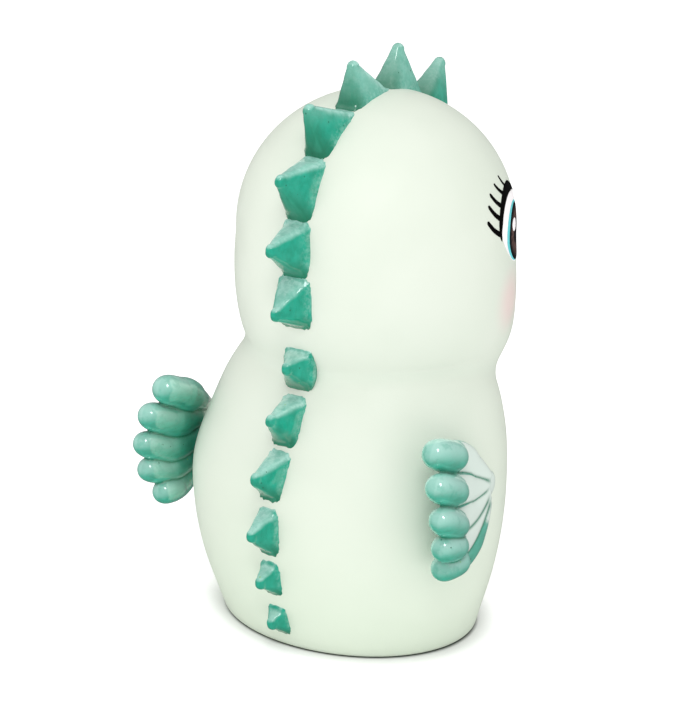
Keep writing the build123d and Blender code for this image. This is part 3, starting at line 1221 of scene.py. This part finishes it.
def make_figure():
    shell = make_shell()
    tree = tree_of(shell)
    place(shell, "figure", body_vinyl(), "body_shell")
    crest = crest_paint()
    for number, sizes in enumerate(SPIKES, start=1):
        spike = make_spike(number, tree, *sizes)
        place(spike, "figure", crest, f"crest_spike_{number:02d}")
    fin_material = fin_paint()
    for side_name, side in SIDES.items():
        fin = make_fin(side_name, side)
        place(fin, f"{side_name}_fin_body", fin_material, f"{side_name}_fin")
    inks = {
        "white": print_ink("eye_white_ink", (252, 250, 250), (246, 240, 242)),
        "ring": print_ink("iris_ring_ink", (96, 200, 206), (116, 210, 214)),
        "iris": iris_ink(face_point(tree, 1, *IRIS_PLACE, 0.0)),
        "black": print_ink("black_ink", (2, 2, 3), (8, 6, 6)),
    }
    for side_name, side in SIDES.items():
        make_eye(tree, side_name, side, inks)
    mouth = make_print("smile", tree, 1, *smile(), LIFTS["smile"])
    place(mouth, "figure", inks["black"])
    dress(frame["nodes"]["base_stopper"], stopper_rubber())


def make_floor():
    corners = ((-1, -1), (1, -1), (1, 1), (-1, 1))
    points = [(x * FLOOR_HALF_SIZE, y * FLOOR_HALF_SIZE, 0.0) for x, y in corners]
    floor = add_mesh("floor", points, [(0, 1, 2, 3)])
    floor.visible_glossy = False
    dress(floor, floor_white())


def soft_light(name, turn, rise, distance, size, radiance, glints):
    """A round lamp aimed at the figure's middle. glints says whether gloss reflects it."""
    lamp = bpy.data.lights.new(name, "AREA")
    lamp.shape = "DISK"
    lamp.size = size
    lamp.energy = radiance * math.pi * math.pi * size * size / 4
    light = bpy.data.objects.new(name, lamp)
    light.visible_glossy = glints
    bpy.context.scene.collection.objects.link(light)
    a, e = math.radians(turn), math.radians(rise)
    back = Vector((math.sin(a) * math.cos(e), -math.cos(a) * math.cos(e), math.sin(e)))
    light.location = LIGHT_TARGET + back * distance
    light.rotation_euler = back.to_track_quat("Z", "Y").to_euler()


def make_light():
    """An even white world, dimmer in reflections and brighter where it is seen directly."""
    world = bpy.data.worlds.new("studio")
    world.use_nodes = True
    nodes, links = world.node_tree.nodes, world.node_tree.links
    background = nodes["Background"]
    background.inputs["Color"].default_value = (1, 1, 1, 1)
    paths = nodes.new("ShaderNodeLightPath")
    unseen = nodes.new("ShaderNodeMapRange")
    unseen.inputs["To Min"].default_value = WORLD_DIFFUSE
    unseen.inputs["To Max"].default_value = WORLD_IN_GLOSS
    links.new(paths.outputs["Is Glossy Ray"], unseen.inputs["Value"])
    strength = nodes.new("ShaderNodeMapRange")
    strength.inputs["To Max"].default_value = WORLD_SEEN
    links.new(unseen.outputs[0], strength.inputs["To Min"])
    links.new(paths.outputs["Is Camera Ray"], strength.inputs["Value"])
    links.new(strength.outputs[0], background.inputs["Strength"])
    bpy.context.scene.world = world
    for row in LIGHTS:
        soft_light(*row)


def turned(first, second, angle):
    """Two vectors at right angles, turned from the first towards the second."""
    c, s = math.cos(angle), math.sin(angle)
    return first * c + second * s, second * c - first * s


def make_camera():
    """A camera that looks at the figure's axis, then is panned and rolled a little."""
    camera = bpy.data.cameras.new("camera")
    camera.lens = CAMERA_LENS
    camera.sensor_width = 36.0
    camera.clip_start = 0.01
    turn = math.radians(CAMERA_TURN)
    reach = Vector((math.sin(turn), -math.cos(turn), 0)) * CAMERA_DISTANCE
    spot = (reach + Vector((0, 0, CAMERA_HEIGHT))) * MM
    ahead = (Vector((0, 0, CAMERA_TARGET_HEIGHT)) * MM - spot).normalized()
    right = ahead.cross(Vector((0, 0, 1))).normalized()
    up = right.cross(ahead)
    ahead, right = turned(ahead, right, math.radians(CAMERA_PAN))
    right, up = turned(right, up, math.radians(CAMERA_ROLL))
    eye = bpy.data.objects.new("camera", camera)
    turn_matrix = Matrix((right, up, -ahead)).transposed().to_4x4()
    eye.matrix_world = Matrix.Translation(spot) @ turn_matrix
    bpy.context.scene.collection.objects.link(eye)
    bpy.context.scene.camera = eye


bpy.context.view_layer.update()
make_figure()
make_floor()
make_light()
make_camera()
bpy.context.scene.view_settings.view_transform = "Standard"
